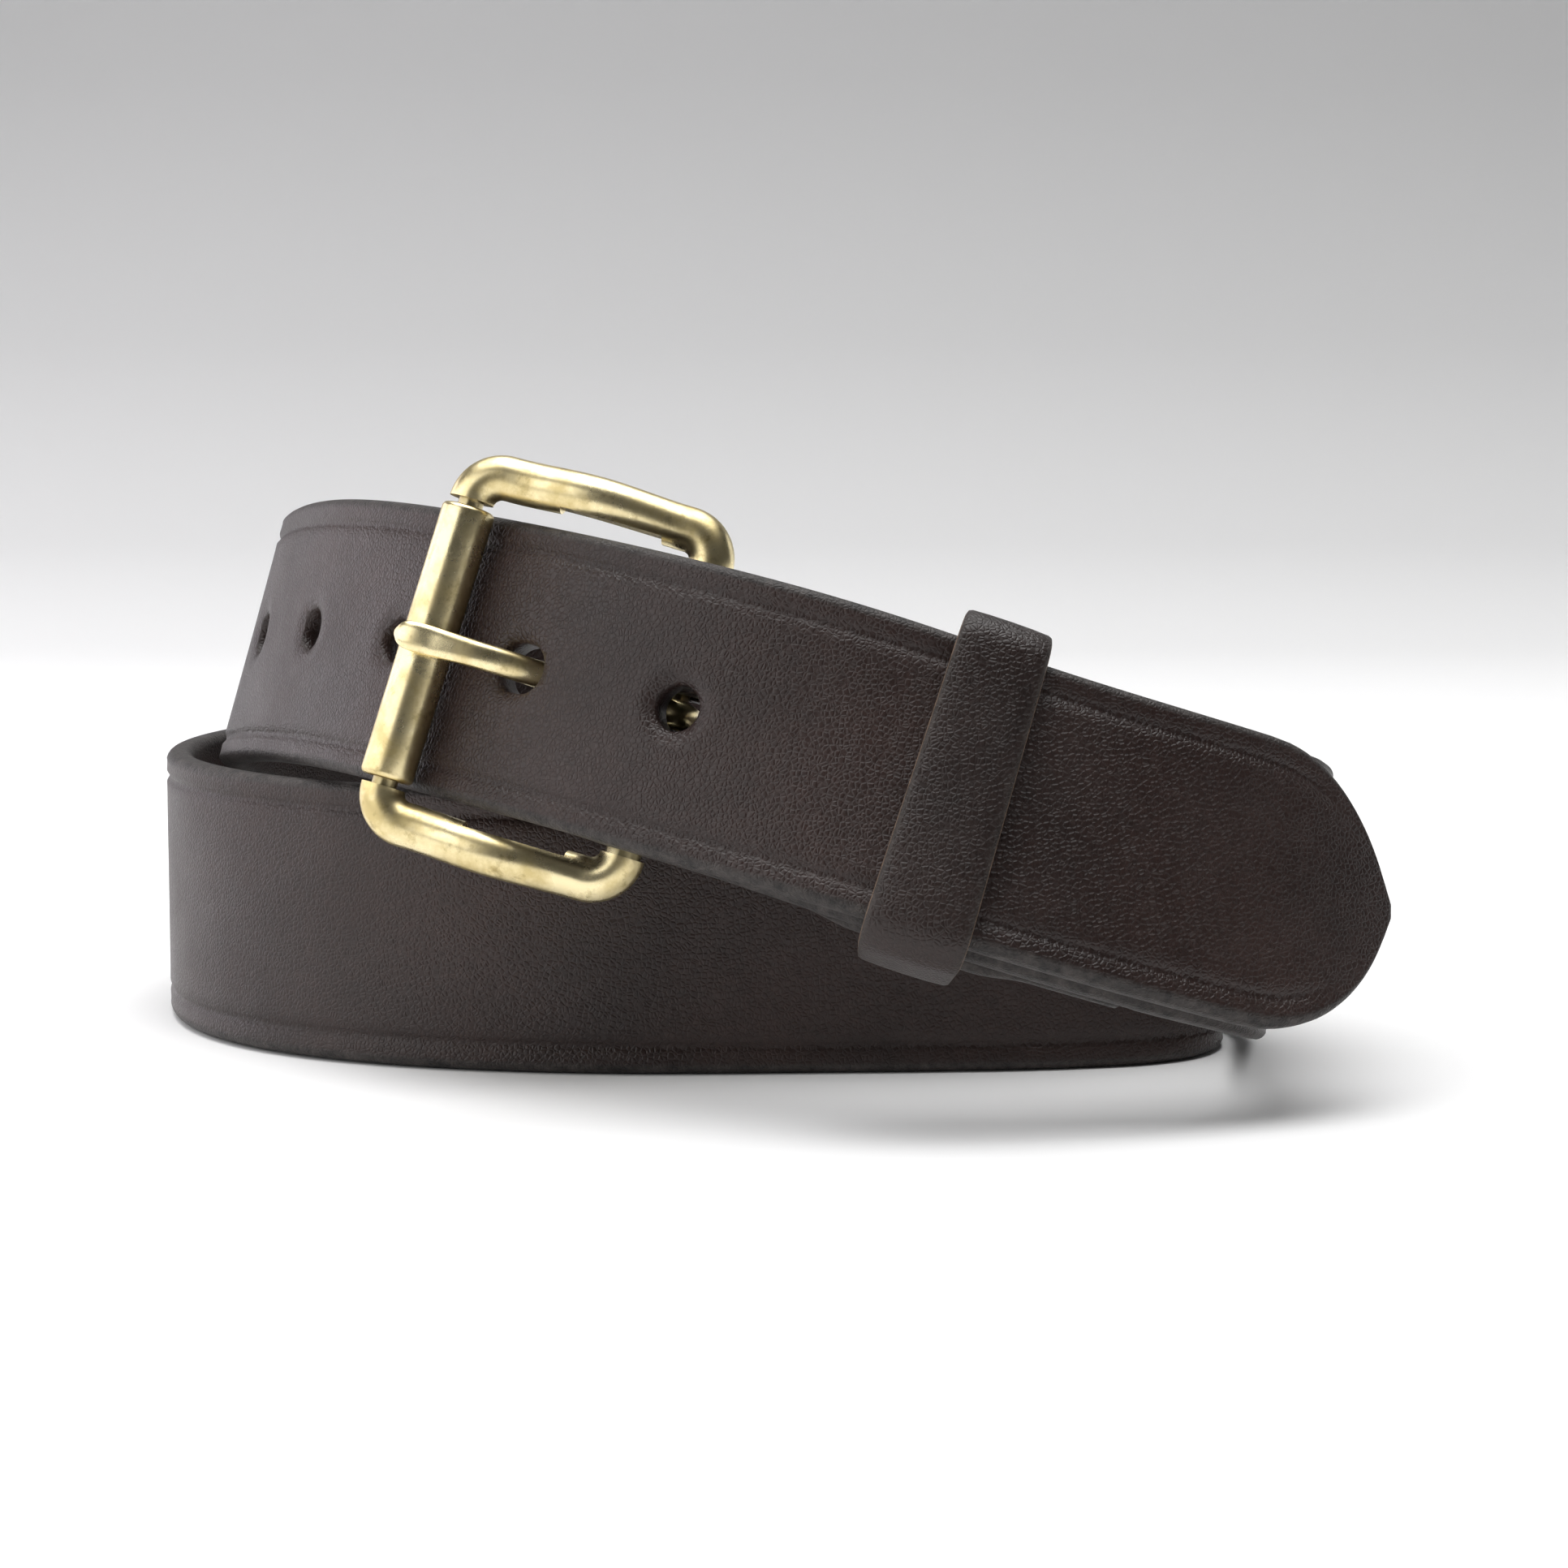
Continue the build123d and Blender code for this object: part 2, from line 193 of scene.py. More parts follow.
def lean_of(fr):
    h = heading_of(fr)
    inward = fr[2].y * cos(h) - fr[2].x * sin(h)
    return degrees(atan2(inward, hypot(fr[2].z, fr[2].x * cos(h) + fr[2].y * sin(h))))


def trace(start, heading, arcs, way, slopes, leans):
    """(distance, station) pairs along arcs of (radius, length)."""
    x, y, z = start
    h = heading
    s = 0.0
    out = [(s, station((x, y, z), h, radians(curve(slopes, s)), curve(leans, s)))]
    for radius, length in arcs:
        count = ceil(length / trace_step)
        ds = way * length / count
        for _ in range(count):
            f = radians(curve(slopes, s + ds / 2))
            mid = h + ds * cos(f) / radius / 2
            x += ds * cos(f) * cos(mid)
            y += ds * cos(f) * sin(mid)
            z += ds * sin(f)
            h += ds * cos(f) / radius
            s += ds
            out.append((s, station((x, y, z), h, radians(curve(slopes, s)), curve(leans, s))))
    return out


def bridge(start, end, pull, count=130):
    """Smooth span of stations between two stations."""
    ha, hb = heading_of(start), heading_of(end)
    sa, sb = slope_of(start), slope_of(end)
    la, lb = lean_of(start), lean_of(end)
    pa, pb = start[0], end[0]
    qa = pa + Vector((cos(ha), sin(ha), sin(sa))) * pull
    qb = pb - Vector((cos(hb), sin(hb), sin(sb))) * pull
    pts = []
    for i in range(count + 1):
        t = i / count
        pts.append(
            pa * (1 - t) ** 3 + qa * 3 * t * (1 - t) ** 2 + qb * 3 * t * t * (1 - t) + pb * t ** 3
        )
    out = []
    for i in range(1, count):
        d = pts[i + 1] - pts[i - 1]
        t = i / count
        lean = la + t * t * (3 - 2 * t) * (lb - la)
        out.append(station(pts[i], atan2(d.y, d.x), atan2(d.z, hypot(d.x, d.y)), lean))
    return out


heading = radians(first_hole_heading)
to_tip = trace(first_hole, heading, billet_arcs, 1, billet_slope, billet_lean)
to_left = trace(first_hole, heading, round_left_arcs, -1, billet_slope, billet_lean)
billet = to_left[::-1] + to_tip[1:]


def at(distance):
    """Station of the billet at a distance from the first hole."""
    i = 0
    while i < len(billet) - 2 and billet[i + 1][0] < distance:
        i += 1
    (s0, a), (s1, b) = billet[i], billet[i + 1]
    t = (distance - s0) / (s1 - s0)
    mixed = [a[k] * (1 - t) + b[k] * t for k in range(4)]
    along = mixed[1].normalized()
    across = (mixed[2] - along * mixed[2].dot(along)).normalized()
    return (mixed[0], along, across, along.cross(across).normalized())


fold_radius = heel_bar_radius + fold_gap
ply_depth = strap_thick + layer_gap
keeper_inside = 2 * strap_thick + layer_gap + 2 * keeper_play
bar_depth = strap_thick / 2 + layer_gap + strap_thick + fold_radius
bar_frame = shifted(at(heel_bar_at), -bar_depth)
roller_centre = moved(at(roller_at), out=strap_thick / 2 + roller_gap + roller_radius)
bar_dir = bar_frame[2]
reach = roller_centre - bar_frame[0]
reach = reach - bar_dir * reach.dot(bar_dir)
bar_to_roller = reach.length
toward = reach.normalized()
outward = bar_dir.cross(toward)


def local(u, w, n):
    """Point in the buckle's own directions, from the middle of the heel bar."""
    return bar_frame[0] + toward * u + bar_dir * w + outward * n


# ---- materials

def material(name):
    mat = bpy.data.materials.new(name)
    mat.use_nodes = True
    tree = mat.node_tree
    return mat, tree, tree.nodes["Principled BSDF"]


def node(tree, kind, **inputs):
    n = tree.nodes.new(kind)
    for key, value in inputs.items():
        n.inputs[key].default_value = value
    return n


def ramp(tree, source, stops):
    """Colour ramp through (position, colour) stops."""
    n = tree.nodes.new("ShaderNodeValToRGB")
    tree.links.new(source, n.inputs["Fac"])
    while len(n.color_ramp.elements) < len(stops):
        n.color_ramp.elements.new(0.5)
    for element, (pos, col) in zip(n.color_ramp.elements, stops):
        element.position = pos
        element.color = col + (1,) if len(col) == 3 else col
    return n.outputs["Color"]


def grey(value):
    return (value, value, value)


def mix(tree, fac, a, b, mode="MIX"):
    n = tree.nodes.new("ShaderNodeMix")
    n.data_type = "RGBA"
    n.blend_type = mode
    for socket, value in ((n.inputs[0], fac), (n.inputs[6], a), (n.inputs[7], b)):
        if hasattr(value, "links"):
            tree.links.new(value, socket)
        elif isinstance(value, (int, float)):
            socket.default_value = value
        else:
            socket.default_value = value + (1,)
    return n.outputs[2]


def noise(tree, coords, scale, detail=4.0, rough=0.55, stretch=None):
    n = node(tree, "ShaderNodeTexNoise", Scale=scale, Detail=detail, Roughness=rough)
    source = coords
    if stretch:
        m = tree.nodes.new("ShaderNodeMapping")
        m.inputs["Scale"].default_value = stretch
        tree.links.new(coords, m.inputs["Vector"])
        source = m.outputs[0]
    tree.links.new(source, n.inputs["Vector"])
    return n.outputs["Fac"]


def bumps(tree, layers):
    """Chain of bump nodes from (height source, strength, distance) layers."""
    last = None
    for height, strength, distance in layers:
        n = node(tree, "ShaderNodeBump", Strength=strength, Distance=distance)
        tree.links.new(height, n.inputs["Height"])
        if last is not None:
            tree.links.new(last, n.inputs["Normal"])
        last = n.outputs["Normal"]
    return last


# texture scales, in features per metre
cloud_scale = 38.0
smear_scale = 65.0
wrinkle_scale = 190.0
fibre_scale = 520.0
fleck_scale = 900.0
pebble_scale = 1500.0
tarnish_scale = 150.0
spot_scale = 420.0
scratch_scale = 700.0


def painted(tree, name, low, high):
    """Grey ramp of a number stored on the mesh."""
    attr = tree.nodes.new("ShaderNodeAttribute")
    attr.attribute_name = name
    return ramp(tree, attr.outputs["Fac"], [(low, grey(0.0)), (high, grey(1.0))])


def leather(name, dark, light, edge_dark, edge_light, raw=(0.16, 0.115, 0.085)):
    """Pebbled, waxed leather with burnished edges; 'edge' and 'raw' come from the mesh."""
    mat, tree, shader = material(name)
    co = tree.nodes.new("ShaderNodeTexCoord").outputs["Object"]
    cloud = noise(tree, co, cloud_scale, 5.0, 0.6)
    face = ramp(tree, cloud, [(0.32, dark), (0.72, light)])
    fleck = noise(tree, co, fleck_scale, 3.0, 0.6)
    flecks = ramp(tree, fleck, [(0.35, grey(0.55)), (0.65, grey(1.3))])
    face = mix(tree, 0.35, face, flecks, "MULTIPLY")
    cell = node(tree, "ShaderNodeTexVoronoi", Scale=pebble_scale)
    cell.feature = "DISTANCE_TO_EDGE"
    tree.links.new(co, cell.inputs["Vector"])
    dome = [(0.0, grey(0.0)), (0.22, grey(0.8)), (0.6, grey(1.0))]
    pebble = ramp(tree, cell.outputs["Distance"], dome)
    fibre = noise(tree, co, fibre_scale, 6.0, 0.75)
    edge_col = ramp(tree, fibre, [(0.35, edge_dark), (0.68, edge_light)])
    edge = painted(tree, "edge", 0.25, 0.75)
    col = mix(tree, edge, face, edge_col)
    raw_dark = tuple(v * 0.35 for v in raw)
    raw_col = ramp(tree, fibre, [(0.3, raw_dark), (0.7, raw)])
    col = mix(tree, painted(tree, "raw", 0.2, 0.9), col, raw_col)
    tree.links.new(col, shader.inputs["Base Color"])
    smear = noise(tree, co, smear_scale, 4.0, 0.6)
    gloss = ramp(tree, smear, [(0.3, grey(0.36)), (0.7, grey(0.47))])
    gloss = mix(tree, edge, gloss, grey(0.55))
    tree.links.new(gloss, shader.inputs["Roughness"])
    shader.inputs["Specular IOR Level"].default_value = 0.42
    shader.inputs["Sheen Weight"].default_value = 0.03
    shader.inputs["Sheen Roughness"].default_value = 0.4
    wrinkle = noise(tree, co, wrinkle_scale, 4.0, 0.6)
    normal = bumps(tree, [
        (wrinkle, 0.18, 0.0005), (pebble, 0.40, 0.0002), (fleck, 0.25, 0.0001),
    ])
    tree.links.new(normal, shader.inputs["Normal"])
    return mat


def metal(name, bright, dull, stain, rough=0.27, stains=0.5):
    """Antiqued plated metal: bright where rubbed, mottled and darker in the hollows."""
    mat, tree, shader = material(name)
    co = tree.nodes.new("ShaderNodeTexCoord").outputs["Object"]
    cloud = noise(tree, co, tarnish_scale, 6.0, 0.65)
    col = ramp(tree, cloud, [(0.36, dull), (0.58, bright)])
    spots = noise(tree, co, spot_scale, 5.0, 0.7)
    stained = ramp(tree, spots, [(0.56, grey(0.0)), (0.74, grey(stains))])
    col = mix(tree, stained, col, stain)
    geo = tree.nodes.new("ShaderNodeNewGeometry")
    rubbing = [(0.47, grey(0.35)), (0.5, grey(1.0)), (0.56, grey(1.25))]
    worn = ramp(tree, geo.outputs["Pointiness"], rubbing)
    col = mix(tree, 0.6, col, worn, "MULTIPLY")
    tree.links.new(col, shader.inputs["Base Color"])
    shader.inputs["Metallic"].default_value = 1.0
    gloss = ramp(tree, cloud, [(0.3, grey(rough + 0.16)), (0.7, grey(rough))])
    tree.links.new(gloss, shader.inputs["Roughness"])
    scratch = noise(tree, co, scratch_scale, 3.0, 0.6, stretch=(1.0, 1.0, 0.15))
    normal = bumps(tree, [(scratch, 0.10, 0.0001), (cloud, 0.12, 0.0003)])
    tree.links.new(normal, shader.inputs["Normal"])
    return mat


belt_leather = leather(
    "belt_leather", (0.016, 0.0075, 0.0060), (0.034, 0.0180, 0.0150),
    (0.006, 0.0045, 0.0040), (0.060, 0.050, 0.046))
keeper_leather = leather(
    "keeper_leather", (0.013, 0.0068, 0.0056), (0.027, 0.0150, 0.0125),
    (0.010, 0.0065, 0.0050), (0.050, 0.038, 0.032), raw=(0.22, 0.14, 0.09))
brass = metal(
    "antique_brass", (0.88, 0.76, 0.46), (0.62, 0.50, 0.24), (0.30, 0.22, 0.08), 0.22, 0.7)
screw_brass = metal(
    "fastener_brass", (0.70, 0.56, 0.34), (0.42, 0.32, 0.18), (0.15, 0.11, 0.06), 0.32)
steel = metal(
    "staple_steel", (0.62, 0.62, 0.60), (0.38, 0.38, 0.37), (0.16, 0.14, 0.12), 0.35)


# ---- mesh helpers

def mesh_object(name, verts, faces, mat, values=None):
    """Object from points in millimetres, with per-point attributes."""
    data = bpy.data.meshes.new(name)
    data.from_pydata([v * MM for v in verts], [], faces)
    data.materials.append(mat)
    for key, numbers in (values or {}).items():
        layer = data.attributes.new(key, "FLOAT", "POINT")
        layer.data.foreach_set("value", numbers)
    bm = bmesh.new()
    bm.from_mesh(data)
    bmesh.ops.recalc_face_normals(bm, faces=bm.faces)
    bm.to_mesh(data)
    bm.free()
    data.shade_smooth()
    obj = bpy.data.objects.new(name, data)
    bpy.context.scene.collection.objects.link(obj)
    return obj


def skin(rings, closed=False):
    """Points and faces of a tube through equal rings, with end caps unless closed."""
    n = len(rings[0])
    verts = [p for ring in rings for p in ring]
    faces = []
    last = len(rings) if closed else len(rings) - 1
    for i in range(last):
        a, b = i * n, (i + 1) % len(rings) * n
        faces += [(a + k, a + (k + 1) % n, b + (k + 1) % n, b + k) for k in range(n)]
    if not closed:
        faces.append(tuple(range(n)))
        faces.append(tuple(range(len(verts) - n, len(verts))))
    return verts, faces


def cut(obj, cutters):
    """Boolean difference, applied."""
    for c in cutters:
        m = obj.modifiers.new("cut", "BOOLEAN")
        m.operation = "DIFFERENCE"
        m.solver = "MANIFOLD"
        m.object = c
    dg = bpy.context.evaluated_depsgraph_get()
    data = bpy.data.meshes.new_from_object(obj.evaluated_get(dg))
    obj.modifiers.clear()
    obj.data = data
    for c in cutters:
        bpy.data.objects.remove(c)
    return obj


def cutter(rings, edge, raw):
    """Cutting solid whose walls carry the given leather edge and raw values."""
    verts, faces = skin(rings)
    values = {"edge": [edge] * len(verts), "raw": [raw] * len(verts)}
    return mesh_object("cutter", verts, faces, belt_leather, values)


def peg(centre, axis, side, radius, length, stretch=0.0, count=40):
    """Round or oval cutter along an axis."""
    axis = axis.normalized()
    u = (side - axis * side.dot(axis)).normalized()
    v = axis.cross(u)
    rings = []
    for end in (-0.5, 0.5):
        ring = []
        for k in range(count):
            t = 2 * pi * k / count
            lengthen = stretch / 2 * (1 if cos(t) > 0 else -1)
            across = u * (radius * cos(t) + lengthen)
            ring.append(centre + axis * length * end + across + v * radius * sin(t))
        rings.append(ring)
    return cutter(rings, 0.2, 0.5)


# ---- strap

def tip_half_width(d):
    """Half the strap's width at a distance from the point of its tip."""
    t = 1 - d / tip_length
    return max(tip_blunt, strap_width / 2 * (1 - t ** 2.2) ** 0.66)


def profile(half, thick, crease):
    """(across, out, edge) points round the strap's section."""
    r = min(edge_round, thick / 2 - 0.2, half * 0.3)
    o = thick / 2
    pts = []
    inner = half - r
    squeeze = min(1.0, half / 8)
    groove = half - crease_in * squeeze
    steps = (-2.2, -crease_wide, -crease_wide / 2, 0, crease_wide / 2, crease_wide)
    inset = [groove + squeeze * a for a in steps]
    middle = [inset[0] * k / 14 for k in range(-13, 14)]

    def depth(a):
        d = (abs(a) - groove) / crease_wide / squeeze
        beside = abs(d) > 0.9
        lip = crease_lip * crease * max(0.0, 1 - abs(abs(d) - 1.6) / 0.8) if beside else 0.0
        fall = (abs(a) / half) ** 6 * crown_fall
        return -crease * crease_deep * max(0.0, 1 - d * d) ** 2 + lip - fall

    outer = [-inner] + [-a for a in inset[::-1]] + middle + inset + [inner]
    for a in outer:
        pts.append((a, o + depth(a), max(0.0, 1 - (half - abs(a)) / edge_blend) * 0.6))
    for k in range(1, 6):
        t = pi / 2 * k / 6
        pts.append((inner + r * sin(t), o - r + r * cos(t), 0.55 + 0.45 * k / 6))
    pts.append((half, 0.0, 1.0))
    for k in range(5, 0, -1):
        t = pi / 2 * k / 6
        pts.append((inner + r * sin(t), -(o - r + r * cos(t)), 0.75))
    for a in [inner] + [inner * k / 4 for k in range(3, -4, -1)] + [-inner]:
        pts.append((a, -o, 0.5 if abs(a) > inner - 0.01 else 0.12))
    for k in range(1, 6):
        t = pi / 2 * k / 6
        pts.append((-(inner + r * sin(t)), -(o - r + r * cos(t)), 0.75))
    pts.append((-half, 0.0, 1.0))
    for k in range(5, 0, -1):
        t = pi / 2 * k / 6
        pts.append((-(inner + r * sin(t)), o - r + r * cos(t), 0.55 + 0.45 * k / 6))
    return pts


def fold_back_depth(s):
    """Depth of the fold-back's middle behind the ply, stepping out round the keeper."""
    near = strap_thick / 2 + ply_gap + skived_thick / 2
    wide = strap_thick / 2 + 2 * fold_radius + skived_thick / 2
    round_keeper = strap_thick / 2 + keeper_play + keeper_thick + keeper_play + skived_thick / 2
    half = keeper_wide / 2 + 3
    knots = [
        (heel_bar_at, wide), (heel_bar_at + 12, near), (keeper_at - half - 7, near),
        (keeper_at - half, round_keeper), (keeper_at + half, round_keeper),
        (keeper_at + half + 7, near), (fold_end_at + 1, near),
    ]
    for (s0, v0), (s1, v1) in zip(knots, knots[1:]):
        if s0 <= s <= s1:
            t = (s - s0) / (s1 - s0)
            return v0 + (v1 - v0) * t * t * (3 - 2 * t)
    return near


def fold_back():
    """Stations of the skived end and of its turn round the heel bar."""
    out = []
    s = fold_end_at
    while s > heel_bar_at + 0.5:
        fr = shifted(at(s), -ply_depth - fold_back_depth(s))
        out.append((fr, strap_width / 2 - fold_narrow, skived_thick))
        s -= fold_spacing
    middle, bar_along, bar_across, bar_out = bar_frame
    for i in range(fold_sections + 1):
        angle = pi - pi * i / fold_sections
        thick = skived_thick + (strap_thick - skived_thick) * i / fold_sections
        away = bar_out * cos(angle) - bar_along * sin(angle)
        along = bar_out * sin(angle) + bar_along * cos(angle)
        centre = middle + away * (fold_radius + thick / 2)
        half = strap_width / 2 - fold_narrow * (1 - i / fold_sections)
        out.append(((centre, along, bar_across, away), half, thick))
    return out


def strap_stations():
    """(station, half width, thickness, crease strength) from the fold-back to the tip."""
    front_ply = [shifted(fr, -ply_depth) for s, fr in billet if heel_bar_at + 1 < s <= under_billet]
    last = front_ply[-1]
    begin = heading_of(last)
    turn = trace(last[0][:], begin, outer_turn_arcs, 1, outer_turn_slope, outer_turn_lean)
    turn = [fr for s, fr in turn[1:]]
    low = front_point + (strap_width / 2 + floor_clear,)
    flat = [(-200, 0.0), (200, 0.0)]
    right = trace(low, 0.0, front_right_arcs, 1, flat, front_lean)
    left = trace(low, 0.0, front_left_arcs, -1, flat, front_lean)
    front = [fr for s, fr in left[::-1] + right[1:]]
    upper = [fr for s, fr in billet if s < tip_reach - tip_length]
    outer = bridge(turn[-1], front[0], outer_bridge_pull)
    inner = bridge(front[-1], upper[0], inner_bridge_pull)
    out = [(fr, half, thick, 0.0) for fr, half, thick in fold_back()]
    body = front_ply + turn + outer + front + inner + upper
    out += [(fr, strap_width / 2, strap_thick, 1.0) for fr in body]
    for i in range(tip_sections + 1):
        d = tip_length * (1 - (i / tip_sections) ** 0.6)
        fade = min(1.0, max(0.0, (d - 9.0) / 6.0))
        out.append((at(tip_reach - d), tip_half_width(d), strap_thick, fade))
    return out


hole_stations = [at(-hole_pitch * i) for i in range(hole_count)]


def dish(point):
    """How far the grain face is pressed in, or puckered up, near a punched hole."""
    sink = 0.0
    for i, fr in enumerate(hole_stations):
        gap = point - fr[0]
        if abs(gap.dot(fr[3])) > dish_deep:
            continue
        away = hypot(gap.dot(fr[1]), gap.dot(fr[2])) - hole_radius
        if away < pucker_at + pucker_wide:
            press = max(0.0, 1 - away / press_wide)
            pucker = max(0.0, 1 - abs(away - pucker_at) / pucker_wide)
            worn = 1.3 if i < 2 else 0.8
            sink += worn * (press_deep * press * press - pucker_high * pucker)
    return sink


def strap():
    rings, edge = [], []
    for fr, half, thick, crease in strap_stations():
        pts = profile(half, thick, max(crease, 0.001))
        ring = []
        for a, o, e in pts:
            p = moved(fr, across=a, out=o)
            if o > grain_side:
                p = p - fr[3] * dish(p)
            ring.append(p)
        rings.append(ring)
        edge += [e for a, o, e in pts]
    verts, faces = skin(rings)
    values = {"edge": edge, "raw": [0.0] * len(verts)}
    obj = mesh_object("strap_leather", verts, faces, belt_leather, values)
    cutters = []
    for i, fr in enumerate(hole_stations):
        if i == worn_hole:
            centre = fr[0] + fr[1] * prong_hole_wear / 2
            cutters.append(
                peg(centre, fr[3], fr[1], prong_hole_radius, hole_deep, prong_hole_wear))
        else:
            cutters.append(peg(fr[0], fr[3], fr[1], hole_radius, hole_deep))
    for s in screw_at:
        fr = shifted(at(s), -ply_depth - fold_back_depth(s) / 2)
        cutters.append(peg(fr[0], fr[3], fr[1], post_radius, post_hole_deep))
    slot = []
    for u in (-prong_slot_reach, prong_slot_reach):
        ring = []
        for w, n in ((-1, -1), (1, -1), (1, 1), (-1, 1)):
            corner = bar_frame[0] + bar_frame[1] * u + bar_dir * w * prong_slot_wide / 2
            ring.append(corner + bar_frame[3] * n * prong_slot_deep)
        slot.append(ring)
    cutters.append(cutter(slot, 0.2, 1.0))
    return cut(obj, cutters)


strap_piece = strap()
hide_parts("strap")
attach(strap_piece, "belt")


# ---- keeper

def keeper():
    """Loop swept round the layers, with a crowned face and raw cut edges."""
    middle = -(layer_gap + strap_thick) / 2
    half_high = keeper_high / 2
    half_deep = keeper_inside / 2 + keeper_thick
    corner = keeper_corner
    loop = []
    for q, (ca, co) in enumerate(((1, 1), (-1, 1), (-1, -1), (1, -1))):
        for k in range(9):
            t = pi / 2 * (q + k / 8)
            a = ca * (half_high - corner)
            o = co * (half_deep - corner)
            loop.append((a + corner * cos(t), o + corner * sin(t), cos(t), sin(t)))
    full = []
    for (a0, o0, c0, s0), (a1, o1, c1, s1) in zip(loop, loop[1:] + loop[:1]):
        full.append((a0, o0, c0, s0))
        span = hypot(a1 - a0, o1 - o0)
        for k in range(1, int(span // 3)):
            t = k / int(span // 3)
            full.append((a0 + (a1 - a0) * t, o0 + (o1 - o0) * t, c0, s0))
    r = keeper_round
    half = keeper_wide / 2
    # along, out and edge values round the loop's section
    section = [
        (-half + r, 0.0, 0.35), (-half * 0.5, 0.12, 0.0), (0, keeper_crown, 0.0),
        (half * 0.5, 0.12, 0.0), (half - r, 0.0, 0.35), (half - 0.2, -0.2, 0.7),
        (half, -r, 0.9), (half, -keeper_thick + r, 1.0), (half - r, -keeper_thick, 0.8),
        (0, -keeper_thick, 0.5), (-half + r, -keeper_thick, 0.8),
        (-half, -keeper_thick + r, 1.0), (-half, -r, 0.9), (-half + 0.2, -0.2, 0.7),
    ]
    rings, edge, raw = [], [], []
    for a, o, ca, co in full:
        ring = []
        for x, inset, e in section:
            fr = shifted(at(keeper_at + x), middle)
            rise = inset - keeper_crown
            ring.append(moved(fr, across=a + ca * rise, out=o + co * rise))
            edge.append(e)
            raw.append(1.0 if e > 0.85 else 0.0)
        rings.append(ring)
    verts, faces = skin(rings, closed=True)
    return mesh_object("keeper_loop", verts, faces, keeper_leather, {"edge": edge, "raw": raw})


keeper_piece = keeper()
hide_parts("keeper")
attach(keeper_piece, "keeper_loop")


# ---- roller and prong

def roller():
    """Bored tube with rounded ends, turned about the pin."""
    half = roller_length / 2
    r = roller_round
    turn = (0.4, 0.8, 1.2, 1.57)
    shoulder = [(half - r + r * cos(t), roller_radius - r + r * sin(t)) for t in turn]
    shape = [(-half, roller_bore), (-half, roller_radius - r)]
    shape += [(-w, q) for w, q in shoulder]
    shape += [(-half + half * k / 4, roller_radius) for k in range(1, 8)]
    shape += shoulder[::-1]
    shape += [(half, roller_radius - r), (half, roller_bore)]
    middle = local(bar_to_roller, 0, 0)
    rings = []
    for k in range(roller_facets):
        t = 2 * pi * k / roller_facets
        arm = toward * cos(t) + outward * sin(t)
        rings.append([middle + bar_dir * w + arm * q for w, q in shape])
    verts, faces = skin(rings, closed=True)
    return mesh_object("roller_tube", verts, faces, brass)


roller_piece = roller()
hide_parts("roller")
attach(roller_piece, "roller_tube")


def smooth_path(pts, count):
    """Catmull-Rom points through pts."""
    ext = [pts[0] * 2 - pts[1]] + pts + [pts[-1] * 2 - pts[-2]]
    out = []
    for i in range(1, len(ext) - 2):
        p0, p1, p2, p3 = ext[i - 1:i + 3]
        for k in range(count):
            t = k / count
            out.append((p1 * 2 + (p2 - p0) * t + (p0 * 2 - p1 * 5 + p2 * 4 - p3) * t * t
                        + (p1 * 3 - p0 - p2 * 3 + p3) * t ** 3) * 0.5)
    return out + [pts[-1]]


def bar_of(path, side, size, sides=28):
    """Rounded rings along a path; size(t) gives half width, half depth, lift, power."""
    rings = []
    for i, p in enumerate(path):
        ahead = (path[min(i + 1, len(path) - 1)] - path[max(i - 1, 0)]).normalized()
        across = (side - ahead * side.dot(ahead)).normalized()
        up = across.cross(ahead)
        wide, deep, lift, power = size(i / (len(path) - 1))
        ring = []
        for k in range(sides):
            t = 2 * pi * k / sides
            c, s = cos(t), sin(t)
            x = (abs(c) ** power) * (1 if c > 0 else -1) * wide
            y = (abs(s) ** power) * (1 if s > 0 else -1) * deep
            ring.append(p + across * x + up * (y + lift))
        rings.append(ring)
    return rings


def prong():
    """Bar from the heel ring, through the hole and over the roller, with a scooped tip."""
    on_roller = roller_radius + prong_gap + prong_deep / 2
    path = smooth_path([
        local(1.5, 0, -prong_drop - 0.6),
        local(9.5, 0, -prong_drop),
        local(prong_step_at - 7.0, 0, -prong_drop + 0.8),
        local(prong_step_at, 0, (on_roller - prong_drop) / 2 - 0.7),
        local(prong_step_at + 6.6, 0, on_roller - 0.9),
        local(bar_to_roller, 0, on_roller),
        local(bar_to_roller + prong_overhang, 0, on_roller - 0.8),
    ], 14)

    def size(t):
        tip = max(0.0, (t - 0.80) / 0.20)
        scoop = max(0.0, min(1.0, (t - 0.70) / 0.10))
        wide = prong_wide / 2 * (1 + 0.10 * scoop) * sqrt(max(0.06, 1 - tip ** 3))
        deep = prong_deep / 2 * (1 - 0.30 * scoop) * sqrt(max(0.10, 1 - tip ** 4))
        return wide, deep, prong_deep / 2 * 0.30 * scoop * -0.6, 0.8

    verts, faces = skin(bar_of(path, bar_dir, size))
    inner = heel_bar_radius + running_gap
    outer = inner + prong_ring_thick
    half = prong_wide / 2
    section = [
        (inner, -half), (inner, half), (inner + 0.5, half),
        (outer, half - 0.5), (outer, 0.5 - half), (inner + 0.5, -half),
    ]
    rings = []
    for k in range(ring_facets):
        t = 2 * pi * k / ring_facets
        arm = toward * cos(t) + outward * sin(t)
        rings.append([local(0, w, 0) + arm * q for q, w in section])
    ring_verts, ring_faces = skin(rings, closed=True)
    base = len(verts)
    faces += [tuple(base + q for q in face) for face in ring_faces]
    return mesh_object("prong_bar", verts + ring_verts, faces, brass)


prong_piece = prong()
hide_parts("prong")
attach(prong_piece, "prong_bar")

# ---- CAD pieces that are seen as they are

